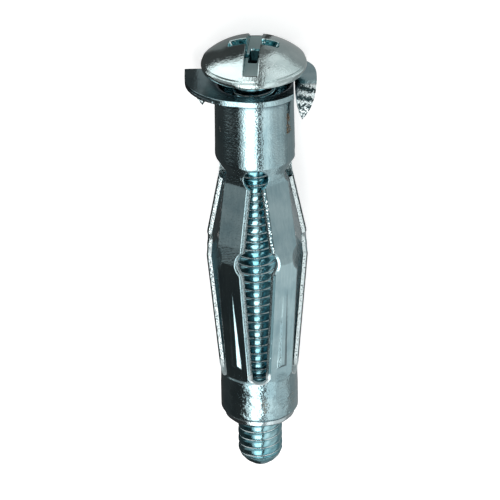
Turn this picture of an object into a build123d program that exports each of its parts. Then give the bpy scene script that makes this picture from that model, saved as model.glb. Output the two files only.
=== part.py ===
from build123d import *
import math
import os

# Metal hollow wall anchor: a slotted sleeve of zinc-plated sheet with a flange and two claws,
# a threaded bush held in the sleeve's collar, and a mushroom head machine screw.
#
# Every piece is drawn standing on its axis, +Z towards the screw's head, with height 0 at the
# underside of the flange, which is the face that meets the wall. "Depth" is measured down
# from that face. The finished pieces are then laid on their side: +Y points to the head and
# the slot between two legs faces up. All sizes are in millimetres.

# Sheet of the sleeve
sheet = 0.8

# Flange
flange_r = 7.2
mouth_round = 1.0

# Ears and claws, one each side, the left one turned half a turn from the right one.
# The right claw is bent in a wide curve, the left one more tightly. A claw's tip is given by
# its distance to the side, its distance in front and its drop below the flange's top.
ear_reach_right = 8.75
ear_outline_right = ((8.6, 3.3), (7.85, 5.3), (6.3, 6.75))
ear_reach_left = 9.7
ear_outline_left = ((9.5, 0.6), (7.6, 4.15), (4.8, 6.2))
ear_blend_angle = 76.0
ear_root_x = 5.65
claw_corner_right = 3.9
claw_corner_left = 5.9
claw_bend_r_right = 3.8
claw_bend_r_left = 1.5
claw_tip_right = (6.6, 2.55, 4.95)
claw_tip_left = (7.3, 3.75, 5.15)
claw_overlap = 0.1
claw_slit = 0.15

# Barrel
barrel_r = 5.6
barrel_flare = 0.08
barrel_straight_length = 2.5
barrel_length = 10.4
shoulder_length = 1.6
neck_r = 5.08
neck_length = 0.7
shoulder_round = 1.1
neck_round = 0.6

# Legs
leg_count = 5
upper_leg_width = 4.45
lower_leg_width = 4.24
hinge_width = 2.7
leg_edge_chamfer = 0.28
upper_hinge_drop = 2.0
keyhole_r = 1.75
upper_bend_drop = 1.2
bulge_start_depth = 22.4
bulge_length = 2.8
middle_hinge_drop = 2.4
middle_notch_height = 3.4
leg_foot_depth = 43.4
neck_apothem = 4.9
bulge_start_apothem = 6.66
bulge_peak_apothem = 7.05
foot_apothem = 5.3
bend_round = 1.5

# Ribs pressed into the lower legs
rib_width = 1.6
rib_top_drop = 4.1
rib_foot_gap = 1.6
rib_height = 0.28
rib_end_length = 0.5
rib_flank_width = 0.5
rib_flank_height = 0.24

# Collar
collar_r = 5.47
collar_waist_r = 5.42
collar_top_rise = 0.4
collar_lead_length = 1.1
collar_waist_length = 3.2
collar_length = 4.0
collar_rim_round = 0.45
slot_end_drop = 1.05
slot_end_width = 2.8
foot_trim_r = 5.75
foot_trim_height = 1.3
foot_trim_overlap = 0.05

# Threaded bush held in the collar
bush_fit_gap = 0.05
bush_top_drop = 1.8
bush_chamfer = 0.4
bush_shoulder_width = 0.3
bush_shoulder_height = 0.95
bush_shoulder_gap = 0.25

# Machine screw, 1/4 inch with 20 threads to the inch, 2 1/2 inches long
screw_r = 3.15
thread_gap = 0.05
screw_length = 62.52
screw_point_length = 2.4
screw_point_r = 1.65
head_gap = 2.02
head_overhang = 0.2
head_rim_taper = 0.2
head_rim_height = 1.05
dome_height = 3.08
head_slot_width = 2.1
head_slot_depth = 2.4
head_slot_turn = -5.0
recess_length = 8.1
recess_width = 2.2
recess_depth = 4.0
recess_floor_length = 2.4
recess_floor_width = 0.9

# Sizes that follow from the ones above
leg_pitch = 360.0 / leg_count
leg_top_depth = barrel_length + shoulder_length - 0.5 * sheet
upper_hinge_depth = barrel_length + upper_hinge_drop
upper_bend_depth = upper_hinge_depth + upper_bend_drop
bulge_peak_depth = bulge_start_depth + bulge_length
middle_hinge_depth = bulge_start_depth + middle_hinge_drop
rib_top_depth = bulge_peak_depth + rib_top_drop
rib_bottom_depth = leg_foot_depth - rib_foot_gap
collar_top_depth = leg_foot_depth - collar_top_rise
collar_full_depth = leg_foot_depth + collar_waist_length
collar_rim_depth = collar_full_depth + collar_length
slot_end_depth = leg_foot_depth + slot_end_drop
bush_top_depth = leg_foot_depth + bush_top_drop
leg_end_depth = collar_full_depth - 0.5 * sheet
collar_bore_r = collar_r - sheet
bush_r = collar_bore_r - bush_fit_gap
bush_bottom_depth = collar_rim_depth + bush_shoulder_gap + bush_shoulder_height
head_under_z = sheet + head_gap
head_r = flange_r + head_overhang
head_underside_r = head_r - head_rim_taper
far_reach = 3.0 * flange_r


def polygon(points):
    """Closed flat shape through the points, in its own x and y."""
    return make_face(Polyline(*points, close=True))


def round_corner(shape, point, radius):
    """Round the corner of a flat shape that lies nearest to the point."""
    corner = shape.vertices().sort_by_distance(Vector(*point, 0))[0]
    return fillet(corner, radius)


def chamfer_corner(shape, point, length):
    """Chamfer the corner of a flat shape that lies nearest to the point."""
    corner = shape.vertices().sort_by_distance(Vector(*point, 0))[0]
    return chamfer(corner, length)


def turned(profile):
    """Solid of revolution about the anchor's axis from a radius and height profile."""
    return revolve(Plane.XZ * profile, Axis.Z, 360)


def half_turn(shape):
    """The same shape on the opposite side of the axis."""
    return Rot(0, 0, 180) * shape


def flange_and_barrel():
    """Drawn tube: round flange, rolled mouth, barrel and the shoulder above the legs."""
    shoulder_depth = barrel_length + shoulder_length
    neck_end = shoulder_depth + neck_length
    flared_r = barrel_r + barrel_flare
    outer = [
        (flange_r, sheet),
        (flange_r, 0),
        (barrel_r, 0),
        (barrel_r, -barrel_straight_length),
        (flared_r, -barrel_length),
        (neck_r, -shoulder_depth),
        (neck_r, -neck_end),
    ]
    inner = [
        (neck_r - sheet, -neck_end),
        (neck_r - sheet, -shoulder_depth),
        (flared_r - sheet, -barrel_length),
        (barrel_r - sheet, -barrel_straight_length),
        (barrel_r - sheet, sheet),
    ]
    wall = polygon(outer + inner)
    wall = round_corner(wall, (barrel_r - sheet, sheet), mouth_round)
    wall = round_corner(wall, (flared_r, -barrel_length), shoulder_round)
    wall = round_corner(wall, (flared_r - sheet, -barrel_length), shoulder_round - 0.5 * sheet)
    wall = round_corner(wall, (neck_r, -shoulder_depth), neck_round)
    return turned(wall)


def claw_lean(corner, tip):
    """Angle by which the claw leans back from straight down."""
    return math.atan2(corner - tip[1], tip[2])


def bend_start(corner, bend_r, tip):
    """Place in front of the axis where the bend to the claw begins."""
    return -corner + bend_r * math.tan((math.pi / 2 + claw_lean(corner, tip)) / 2)


def claw_strip(corner, bend_r, tip):
    """Sheet strip that leaves the ear level, bends down and leans back past the claw's tip."""
    lean = claw_lean(corner, tip)
    path = FilletPolyline(
        (bend_start(corner, bend_r, tip) + claw_overlap, sheet),
        (-corner, sheet),
        (-tip[1] + sheet * math.sin(lean), sheet - tip[2] - sheet * math.cos(lean)),
        radius=bend_r,
    )
    wall = make_face(offset(path, sheet, side=Side.LEFT))
    return extrude(Plane.YZ * wall, far_reach)


def claw_front(reach, tip):
    """Outline of the claw seen from the front: two curved edges that meet in its tip."""
    point = (tip[0], sheet - tip[2])
    root = (ear_root_x, sheet)
    outer_mid = (reach - 0.5, sheet - 0.42 * tip[2])
    inner_mid = (ear_root_x + 0.25, sheet - 0.56 * tip[2])
    edge = ThreePointArc((reach, sheet), outer_mid, point)
    edge += ThreePointArc(point, inner_mid, root)
    edge += Line(root, (reach, sheet))
    return extrude(Plane.XZ * make_face(edge), far_reach, both=True)


def ear(reach, outline, start):
    """Level ear on the right of the flange, its outer edge running smoothly into the rim."""
    blend = math.radians(ear_blend_angle)
    rim = (flange_r * math.cos(blend), flange_r * math.sin(blend))
    seam_r = flange_r - 0.5 * sheet
    seam = (seam_r * math.cos(blend), seam_r * math.sin(blend))
    seam_mid = (seam_r * math.cos(0.8 * blend), seam_r * math.sin(0.8 * blend))
    root = (ear_root_x, math.sqrt(seam_r ** 2 - ear_root_x ** 2))
    plan = Spline((reach, start), *outline, rim, tangents=((0, 1), (-rim[1], rim[0])))
    plan += Line(rim, seam)
    plan += ThreePointArc(seam, seam_mid, root)
    plan += Polyline(root, (ear_root_x, start), (reach, start))
    return extrude(make_face(plan), sheet)


def clawed_ear(reach, outline, corner, bend_r, tip):
    """Ear on the right, level at the back, with its claw bent down at the front."""
    claw = claw_strip(corner, bend_r, tip) & claw_front(reach, tip)
    return ear(reach, outline, bend_start(corner, bend_r, tip)) + claw


def claw_clearance(start):
    """Cut that frees the bent strip from the round flange, with a narrow slit beside it."""
    edge = ear_root_x - claw_slit
    cut = polygon([(edge, start), (far_reach, start), (far_reach, -far_reach), (edge, -far_reach)])
    return Pos(0, 0, -far_reach / 2) * extrude(cut, far_reach)


def leg_blank():
    """One leg in side view: level neck, upper slope, bulge and lower slope, in sheet."""
    outer = [
        (neck_apothem, -leg_top_depth),
        (neck_apothem, -upper_bend_depth),
        (bulge_start_apothem, -bulge_start_depth),
        (bulge_peak_apothem, -bulge_peak_depth),
        (foot_apothem, -leg_foot_depth),
        (foot_apothem, -leg_end_depth),
    ]
    middle = FilletPolyline(*outer, radius=bend_round)
    wall = make_face(offset(middle, sheet, side=Side.RIGHT))
    width = max(upper_leg_width, lower_leg_width)
    return extrude(Plane.XZ * wall, width / 2, both=True)


def leg_outline():
    """One leg in front view, with the round notches of the middle hinge."""
    upper = upper_leg_width / 2
    lower = lower_leg_width / 2
    notch_top = -(middle_hinge_depth - middle_notch_height / 2)
    notch_low = -(middle_hinge_depth + middle_notch_height / 2)
    edge = Line((upper, -leg_top_depth), (upper, notch_top))
    edge += ThreePointArc((upper, notch_top), (hinge_width / 2, -middle_hinge_depth), (lower, notch_low))
    edge += Line((lower, notch_low), (lower, -leg_end_depth))
    edge += Line((lower, -leg_end_depth), (-lower, -leg_end_depth))
    edge += Line((-lower, -leg_end_depth), (-lower, notch_low))
    edge += ThreePointArc((-lower, notch_low), (-hinge_width / 2, -middle_hinge_depth), (-upper, notch_top))
    edge += Line((-upper, notch_top), (-upper, -leg_top_depth))
    edge += Line((-upper, -leg_top_depth), (upper, -leg_top_depth))
    return extrude(Plane.YZ * make_face(edge), far_reach)


def lower_leg_apothem(depth):
    """Distance of the lower leg's outer face from the axis at a depth."""
    share = (depth - bulge_peak_depth) / (leg_foot_depth - bulge_peak_depth)
    return bulge_peak_apothem + share * (foot_apothem - bulge_peak_apothem)


def rib_wedge(width, height, sunk):
    """Wedge on the lower leg that grows from nothing at its top to its full height."""
    top = lower_leg_apothem(rib_top_depth) - sunk
    low = lower_leg_apothem(rib_bottom_depth) - sunk
    end = lower_leg_apothem(rib_bottom_depth + rib_end_length) - sunk
    side = polygon([
        (top - 0.5 * sheet, -rib_top_depth),
        (top, -rib_top_depth),
        (low + height, -rib_bottom_depth),
        (end, -(rib_bottom_depth + rib_end_length)),
        (end - 0.5 * sheet, -(rib_bottom_depth + rib_end_length)),
    ])
    return extrude(Plane.XZ * side, width / 2, both=True)


def outer_edges(leg):
    """Long outer edges of a leg, which the punch leaves broken."""
    outside = [face for face in leg.faces() if face.normal_at(face.center()).X > 0.5]
    edges = [edge for face in outside for edge in face.edges()]
    return [edge for edge in edges if abs(edge.center().Y) > 0.4 * hinge_width]


def leg():
    """One finished leg, pointing along +X."""
    piece = leg_blank() & leg_outline()
    piece = chamfer(outer_edges(piece), leg_edge_chamfer)
    rib = rib_wedge(rib_width, rib_height, 0)
    outside = [face for face in rib.faces() if face.normal_at(face.center()).X > 0.5]
    face = max(outside, key=lambda face: face.area)
    sides = [edge for edge in face.edges() if abs(edge.center().Y) > 0.4 * rib_width]
    rib = chamfer(sides, rib_flank_width, rib_flank_height, reference=face)
    groove = rib_wedge(rib_width - sheet, rib_height, sheet)
    return piece + rib - groove


def round_ends():
    """Ring that trims the flat legs' corners where they run into the round neck and collar."""
    neck = polygon([
        (neck_r, 0),
        (neck_r, -upper_hinge_depth),
        (far_reach, -bulge_start_depth),
        (far_reach, 0),
    ])
    foot_r = collar_waist_r - foot_trim_overlap
    foot = polygon([
        (foot_r, -collar_rim_depth),
        (foot_r, -slot_end_depth),
        (foot_trim_r, -slot_end_depth + foot_trim_height),
        (far_reach, -bulge_start_depth),
        (far_reach, -collar_rim_depth),
    ])
    return turned(neck) + turned(foot)


def slot_end():
    """Radial cutter for the round lower end of one slot."""
    radius = slot_end_width / 2
    centre = slot_end_depth - radius
    shape = Pos(0, -centre) * Circle(radius)
    shape += Pos(0, -centre + sheet) * Rectangle(slot_end_width, 2 * sheet)
    return extrude(Plane.YZ * shape, far_reach)


def keyhole():
    """Radial cutter for the round hole above one slot, which thins the upper hinges."""
    return extrude(Plane.YZ * (Pos(0, -upper_hinge_depth) * Circle(keyhole_r)), far_reach)


def around(shape, first_angle):
    """The shape repeated once per leg around the axis, from the first angle."""
    return [Rot(0, 0, first_angle + n * leg_pitch) * shape for n in range(leg_count)]


def collar():
    """Round tube that closes the sleeve below the slots, with its rim rolled in."""
    wall = polygon([
        (collar_bore_r, -collar_top_depth),
        (foot_apothem, -collar_top_depth),
        (collar_waist_r, -collar_top_depth - collar_lead_length),
        (collar_waist_r, -leg_foot_depth - 2 * sheet),
        (collar_r, -collar_full_depth),
        (collar_r, -collar_rim_depth),
        (collar_bore_r, -collar_rim_depth),
    ])
    wall = round_corner(wall, (collar_r, -collar_rim_depth), collar_rim_round)
    return turned(wall)


def bush_seat():
    """Round seat that the bush has pressed into the collar and the feet of the legs."""
    top_z = -(bush_top_depth - bush_fit_gap)
    return turned(polygon([
        (0, top_z),
        (collar_bore_r, top_z),
        (collar_bore_r, -bush_bottom_depth),
        (0, -bush_bottom_depth),
    ]))


def expansion_sleeve():
    """The whole sleeve, one piece of sheet."""
    slot_angle = -90
    top = flange_and_barrel()
    right = (claw_corner_right, claw_bend_r_right, claw_tip_right)
    left = (claw_corner_left, claw_bend_r_left, claw_tip_left)
    top -= claw_clearance(bend_start(*right))
    top -= half_turn(claw_clearance(bend_start(*left)))
    top += clawed_ear(ear_reach_right, ear_outline_right, *right)
    top += half_turn(clawed_ear(ear_reach_left, ear_outline_left, *left))
    foot = collar()
    for cutter in around(slot_end(), slot_angle):
        foot -= cutter
    one_leg = leg() - round_ends()
    body = top + foot
    for piece in around(one_leg, slot_angle + leg_pitch / 2):
        body += piece
    for cutter in around(keyhole(), slot_angle):
        body -= cutter
    return body - bush_seat()


def captive_nut():
    """Threaded bush: round body in the collar, with a shoulder below the collar's rim."""
    bore = screw_r + thread_gap
    shoulder_z = -(collar_rim_depth + bush_shoulder_gap)
    shoulder_r = bush_r + bush_shoulder_width
    wall = polygon([
        (bore, -bush_top_depth),
        (bush_r, -bush_top_depth),
        (bush_r, shoulder_z),
        (shoulder_r, shoulder_z),
        (shoulder_r, -bush_bottom_depth),
        (bore, -bush_bottom_depth),
    ])
    for corner in ((bore, -bush_top_depth), (bush_r, -bush_top_depth),
                   (shoulder_r, -bush_bottom_depth), (bore, -bush_bottom_depth)):
        wall = chamfer_corner(wall, corner, bush_chamfer)
    return turned(wall)


def head_blank():
    """Mushroom head: flat underside, rounded rim and a low dome, with the shank's top."""
    rim_z = head_under_z + head_rim_height
    top_z = rim_z + dome_height
    sphere_r = (head_r ** 2 + dome_height ** 2) / (2 * dome_height)
    mid_angle = 0.5 * math.asin(head_r / sphere_r)
    mid = (sphere_r * math.sin(mid_angle), top_z - sphere_r * (1 - math.cos(mid_angle)))
    rim_mid = (head_r - 0.2 * head_rim_taper, head_under_z + 0.4 * head_rim_height)
    edge = Line((0, head_under_z), (head_underside_r, head_under_z))
    edge += ThreePointArc((head_underside_r, head_under_z), rim_mid, (head_r, rim_z))
    edge += ThreePointArc((head_r, rim_z), mid, (0, top_z))
    edge += Line((0, top_z), (0, head_under_z))
    return turned(make_face(edge))


def driver_blade():
    """One tapered wing pair of the cross recess, from the dome down to its floor."""
    top_z = head_under_z + head_rim_height + dome_height
    upper = Plane.XY.offset(top_z) * Rectangle(recess_length, recess_width)
    lower = Plane.XY.offset(top_z - recess_depth) * Rectangle(recess_floor_length, recess_floor_width)
    return loft([upper, lower])


def head_slot():
    """Straight slot across the dome."""
    top_z = head_under_z + head_rim_height + dome_height
    return Pos(0, 0, top_z) * Box(head_slot_width, 2 * far_reach, 2 * head_slot_depth)


def machine_screw():
    """Screw with its plain shank at the thread's outer size and a chamfered end."""
    end_z = head_under_z - screw_length
    shank = turned(polygon([
        (0, end_z),
        (screw_point_r, end_z),
        (screw_r, end_z + screw_point_length),
        (screw_r, head_under_z),
        (0, head_under_z),
    ]))
    cuts = head_slot() + driver_blade() + Rot(0, 0, 90) * driver_blade()
    return head_blank() + shank - Rot(0, 0, head_slot_turn) * cuts


def lay_down(shape):
    """Lay a standing piece on its side, with its head towards +Y and its front up."""
    return Rot(-90, 0, 0) * shape


def main():
    """Write each piece to its own file."""
    os.makedirs("parts", exist_ok=True)
    pieces = {
        "expansion_sleeve": expansion_sleeve(),
        "captive_nut": captive_nut(),
        "machine_screw": machine_screw(),
    }
    for name, shape in pieces.items():
        export_step(lay_down(shape), f"parts/{name}.step")


main()
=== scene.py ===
"""Looks of a metal hollow wall anchor lying on a pale floor.

The slotted sleeve and the bush keep their solids and get zinc finishes. The machine screw
gets a piece of its own, with its rolled thread, its rimmed dome and its driver recess.
+Y runs along the axis to the screw's head and +Z is up. The studio and the camera are given
in metres, the finishes and the screw in millimetres.
"""

import logging
import math
from dataclasses import dataclass
from enum import Enum
from typing import Sequence, Tuple

import bpy
from mathutils import Matrix, Vector


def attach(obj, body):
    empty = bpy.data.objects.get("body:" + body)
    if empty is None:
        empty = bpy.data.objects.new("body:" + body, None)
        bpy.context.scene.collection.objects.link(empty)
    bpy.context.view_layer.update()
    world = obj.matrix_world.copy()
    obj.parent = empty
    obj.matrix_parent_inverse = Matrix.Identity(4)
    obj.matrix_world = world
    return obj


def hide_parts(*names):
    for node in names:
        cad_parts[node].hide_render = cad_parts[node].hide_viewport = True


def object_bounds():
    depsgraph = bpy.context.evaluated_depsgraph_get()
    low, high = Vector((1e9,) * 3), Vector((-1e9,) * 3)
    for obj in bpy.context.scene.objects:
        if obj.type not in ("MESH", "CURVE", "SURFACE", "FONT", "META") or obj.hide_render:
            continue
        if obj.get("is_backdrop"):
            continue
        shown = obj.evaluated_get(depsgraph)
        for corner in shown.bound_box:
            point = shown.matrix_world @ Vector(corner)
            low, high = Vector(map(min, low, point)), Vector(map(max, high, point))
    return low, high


Colour = Tuple[float, float, float]
Point = Tuple[float, float, float]
Pair = Tuple[float, float]
Piece = bpy.types.Object
Socket = bpy.types.NodeSocket
MM = 0.001
WELD = 0.002 * MM  # vertices of a shell that lie closer become one
SEAM = 0.001 * MM  # the same for the seam of a turned profile
FLAT: Point = (1.0, 0.0, 1.0)  # factors that drop the part along the axis
MIX_INPUTS = (0, 6, 7)  # a colour mix node's factor and its two colours
MIX_RESULT = 2
log = logging.getLogger("hollow_wall_anchor")

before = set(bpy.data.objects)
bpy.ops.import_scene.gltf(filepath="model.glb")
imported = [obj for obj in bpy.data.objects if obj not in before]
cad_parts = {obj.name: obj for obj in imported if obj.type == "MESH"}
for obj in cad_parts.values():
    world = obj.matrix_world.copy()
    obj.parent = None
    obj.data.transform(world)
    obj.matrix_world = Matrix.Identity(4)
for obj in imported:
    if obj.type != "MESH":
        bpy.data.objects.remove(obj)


class Body(Enum):
    """Bodies that move against the sleeve."""

    SCREW = "screw"


class Slot(Enum):
    """Material slots of the record."""

    SLEEVE = "sleeve_zinc"
    BUSH = "bush_zinc"
    SCREW = "screw_zinc"


def deselect_all() -> None:
    """Leave edit mode and deselect every object."""
    if bpy.context.object is not None and bpy.context.object.mode != "OBJECT":
        bpy.ops.object.mode_set(mode="OBJECT")
    bpy.ops.object.select_all(action="DESELECT")


def make_active(piece: Piece) -> None:
    """Select one object alone and make it the active one.

    Args:
        piece: The object to work on.
    """
    deselect_all()
    piece.select_set(True)
    bpy.context.view_layer.objects.active = piece


def settle() -> None:
    """Write the active object's place, turn and scale into its mesh."""
    bpy.ops.object.transform_apply(location=True, rotation=True, scale=True)


def draw_chain(name: str, points: Sequence[Point]) -> Piece:
    """Draw an open chain of edges, point by point, by extruding a single vertex.

    Args:
        name: Name of the new object.
        points: The chain's points in metres.

    Returns:
        The object that holds the chain.
    """
    deselect_all()
    bpy.ops.mesh.primitive_plane_add(size=MM, location=points[0])
    chain = bpy.context.object
    chain.name = name
    settle()
    bpy.ops.object.mode_set(mode="EDIT")
    bpy.ops.mesh.select_all(action="SELECT")
    bpy.ops.mesh.merge(type="CENTER")
    for here, there in zip(points, points[1:]):
        step = tuple(b - a for a, b in zip(here, there))
        bpy.ops.mesh.extrude_region_move(TRANSFORM_OT_translate={"value": step})
    bpy.ops.object.mode_set(mode="OBJECT")
    return chain


def apply_modifier(piece: Piece, kind: str, **settings: object) -> None:
    """Add a modifier with its settings and apply it at once.

    Args:
        piece: The object that gets the modifier.
        kind: Blender's type name of the modifier.
        **settings: Values for the modifier's properties.
    """
    make_active(piece)
    modifier = piece.modifiers.new(kind.lower(), kind)
    for key, value in settings.items():
        setattr(modifier, key, value)
    bpy.ops.object.modifier_apply(modifier=modifier.name)


def close_shell(piece: Piece) -> None:
    """Merge doubles, fill open rims and turn all faces outwards.

    Args:
        piece: The mesh object to close.
    """
    make_active(piece)
    bpy.ops.object.mode_set(mode="EDIT")
    bpy.ops.mesh.select_all(action="SELECT")
    bpy.ops.mesh.remove_doubles(threshold=WELD)
    bpy.ops.mesh.fill_holes(sides=0)
    bpy.ops.mesh.select_all(action="SELECT")
    bpy.ops.mesh.normals_make_consistent(inside=False)
    bpy.ops.object.mode_set(mode="OBJECT")


def turn_profile(name: str, profile: Sequence[Pair], steps: int) -> Piece:
    """Turn a radius and height profile about the Y axis into a closed solid.

    Args:
        name: Name of the new object.
        profile: Pairs of radius and place along Y in millimetres, from axis to axis.
        steps: Facets round the axis.

    Returns:
        The turned object.
    """
    turned = draw_chain(name, [(0.0, y * MM, r * MM) for r, y in profile])
    apply_modifier(
        turned, "SCREW", axis="Y", angle=2 * math.pi, steps=steps, render_steps=steps,
        use_merge_vertices=True, merge_threshold=SEAM,
    )
    close_shell(turned)
    return turned


def combine(piece: Piece, tool: Piece, operation: str) -> None:
    """Join, cut or intersect two closed solids and remove the second.

    Args:
        piece: The solid that stays.
        tool: The solid that is used up.
        operation: UNION, DIFFERENCE or INTERSECT.
    """
    apply_modifier(piece, "BOOLEAN", object=tool, operation=operation, solver="EXACT")
    bpy.data.objects.remove(tool)


def smooth(piece: Piece, degrees: float) -> None:
    """Shade a mesh smooth where its faces meet at less than an angle.

    Args:
        piece: The mesh object.
        degrees: The angle.
    """
    make_active(piece)
    bpy.ops.object.shade_smooth_by_angle(angle=math.radians(degrees))


@dataclass(frozen=True)
class Grain:
    """A noise pattern fixed to a piece.

    scale counts repeats per metre and detail the finer layers, whose weight is roughness.
    stretch below 1 draws the pattern out along an axis, and offset shifts it.
    """

    scale: float
    detail: float = 2.0
    stretch: Point = (1.0, 1.0, 1.0)
    offset: Point = (0.0, 0.0, 0.0)
    roughness: float = 0.5


@dataclass(frozen=True)
class Ramp:
    """A soft, clamped step: the range that goes in and the range that comes out."""

    low: float
    high: float
    to_low: float = 0.0
    to_high: float = 1.0


class ShaderSheet:
    """Lays out the nodes of one material."""

    def __init__(self, name: str) -> None:
        """Start an empty material with its output node.

        Args:
            name: Name of the material.
        """
        self.material = bpy.data.materials.new(name)
        self.material.use_nodes = True
        self.tree = self.material.node_tree
        self.tree.nodes.clear()
        self.output = self.tree.nodes.new("ShaderNodeOutputMaterial")
        self.object_coords = self.node("ShaderNodeTexCoord").outputs["Object"]

    def node(self, kind: str, **settings: object) -> bpy.types.Node:
        """Add a node and set its properties.

        Args:
            kind: Blender's type name of the node.
            **settings: Values for the node's properties.

        Returns:
            The new node.
        """
        made = self.tree.nodes.new(kind)
        for key, value in settings.items():
            setattr(made, key, value)
        return made

    def feed(self, socket: Socket, value: object) -> None:
        """Link an output to an input socket, or set the input's own value.

        Args:
            socket: The input.
            value: An output socket, a number or a colour.
        """
        if isinstance(value, Socket):
            self.tree.links.new(value, socket)
        elif isinstance(value, tuple) and len(value) == 3 and len(socket.default_value) == 4:
            socket.default_value = (*value, 1.0)
        else:
            socket.default_value = value

    def calc(self, operation: str, *values: object) -> Socket:
        """Work out one arithmetic step.

        Args:
            operation: Blender's name of the operation.
            *values: The operands, each a socket or a number.

        Returns:
            The result.
        """
        made = self.node("ShaderNodeMath", operation=operation)
        for socket, value in zip(made.inputs, values):
            self.feed(socket, value)
        return made.outputs[0]

    def times(self, first: object, *others: object) -> Socket:
        """Product of sockets and numbers."""
        for other in others:
            first = self.calc("MULTIPLY", first, other)
        return first

    def plus(self, first: object, *others: object) -> Socket:
        """Sum of sockets and numbers."""
        for other in others:
            first = self.calc("ADD", first, other)
        return first

    def inverse(self, share: object) -> Socket:
        """What a share leaves of 1."""
        return self.calc("SUBTRACT", 1.0, share)

    def vector(self, operation: str, *values: object, out: str = "Vector") -> Socket:
        """Work out one step with vectors.

        Args:
            operation: Blender's name of the operation.
            *values: The operands, each a socket or a triple.
            out: Name of the output that is wanted.

        Returns:
            The result.
        """
        made = self.node("ShaderNodeVectorMath", operation=operation)
        for socket, value in zip(made.inputs, values):
            self.feed(socket, value)
        return made.outputs[out]

    def part(self, vector: Socket, axis: str) -> Socket:
        """One part of a vector: X, Y or Z."""
        made = self.node("ShaderNodeSeparateXYZ")
        self.feed(made.inputs[0], vector)
        return made.outputs[axis]

    def place(self, axis: str) -> Socket:
        """Place on the piece along X, Y or Z."""
        return self.part(self.object_coords, axis)

    def facing(self) -> Socket:
        """Direction that the surface faces."""
        return self.node("ShaderNodeNewGeometry").outputs["Normal"]

    def off_axis(self) -> Socket:
        """Distance from the anchor's axis."""
        flat = self.vector("MULTIPLY", self.object_coords, FLAT)
        return self.vector("LENGTH", flat, out="Value")

    def noise(self, grain: Grain) -> Socket:
        """Value of a noise pattern."""
        place = self.node("ShaderNodeMapping")
        place.inputs["Scale"].default_value = grain.stretch
        place.inputs["Location"].default_value = grain.offset
        self.feed(place.inputs["Vector"], self.object_coords)
        made = self.node("ShaderNodeTexNoise")
        made.inputs["Scale"].default_value = grain.scale
        made.inputs["Detail"].default_value = grain.detail
        made.inputs["Roughness"].default_value = grain.roughness
        self.feed(made.inputs["Vector"], place.outputs["Vector"])
        return made.outputs["Fac"]

    def span(self, value: object, ramp: Ramp, unit: float = 1.0) -> Socket:
        """Map a value over a ramp.

        Args:
            value: The value to map.
            ramp: The ramp.
            unit: Size of the unit that the range going in is given in.

        Returns:
            The mapped value.
        """
        made = self.node("ShaderNodeMapRange", interpolation_type="SMOOTHSTEP")
        for name, number in (("Value", value), ("From Min", ramp.low * unit),
                             ("From Max", ramp.high * unit), ("To Min", ramp.to_low),
                             ("To Max", ramp.to_high)):
            self.feed(made.inputs[name], number)
        return made.outputs["Result"]

    def speckle(self, grain: Grain, ramp: Ramp) -> Socket:
        """Noise pattern sharpened by a ramp."""
        return self.span(self.noise(grain), ramp)

    def blend(self, factor: object, first: object, second: object) -> Socket:
        """Blend two colours.

        Args:
            factor: Share of the second colour.
            first: Colour at 0.
            second: Colour at 1.

        Returns:
            The blended colour.
        """
        made = self.node("ShaderNodeMix", data_type="RGBA")
        for index, value in zip(MIX_INPUTS, (factor, first, second)):
            self.feed(made.inputs[index], value)
        return made.outputs[MIX_RESULT]

    def dent(self, height: object, depth: float, strength: float, below: Socket) -> Socket:
        """Turn a height into a bumped normal.

        Args:
            height: The height, 0 to 1.
            depth: Its real size in mm.
            strength: How much of it shows.
            below: Normal to add it to.

        Returns:
            The new normal.
        """
        made = self.node("ShaderNodeBump")
        made.inputs["Distance"].default_value = depth * MM
        made.inputs["Strength"].default_value = strength
        self.feed(made.inputs["Height"], height)
        self.feed(made.inputs["Normal"], below)
        return made.outputs["Normal"]


@dataclass(frozen=True)
class Stain:
    """A brown mark on the plating, in mm: a ragged line along the axis, or a speckled patch."""

    centre: Point
    reach: Point
    strength: float = 1.0
    line_width: float = 0.0
    wander: float = 1.4
    line_fade: float = 0.85
    fray: float = 1.2
    patch_edge: Pair = (1.1, 1.6)
    dots: Grain = Grain(5200.0, 1.0, offset=(0.4, 0.4, 0.4))
    dot_share: Ramp = Ramp(0.46, 0.56)

    def mask(self, sheet: ShaderSheet, ragged: Socket) -> Socket:
        """Share of the mark at a point of the surface.

        Args:
            sheet: The material's node sheet.
            ragged: Noise that frays the mark.

        Returns:
            The mask from 0 to the mark's strength.
        """
        centre = tuple(v * MM for v in self.centre)
        scale = tuple(1.0 / (v * MM) for v in self.reach)
        offset = sheet.vector("SUBTRACT", sheet.object_coords, centre)
        length = sheet.vector("LENGTH", sheet.vector("MULTIPLY", offset, scale), out="Value")
        if self.line_width:
            drift = sheet.times(sheet.calc("SUBTRACT", ragged, 0.5), self.wander * MM)
            across = sheet.calc("ABSOLUTE", sheet.plus(sheet.part(offset, "X"), drift))
            inside = sheet.span(length, Ramp(self.line_fade, 1.0, self.strength, 0.0))
            edge = Ramp(0.5 * self.line_width, self.line_width, 1.0, 0.0)
            return sheet.times(inside, sheet.span(across, edge, MM))
        frayed = sheet.plus(length, sheet.times(ragged, self.fray))
        patch = sheet.span(frayed, Ramp(*self.patch_edge, self.strength, 0.0))
        return sheet.times(patch, sheet.speckle(self.dots, self.dot_share))


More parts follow.
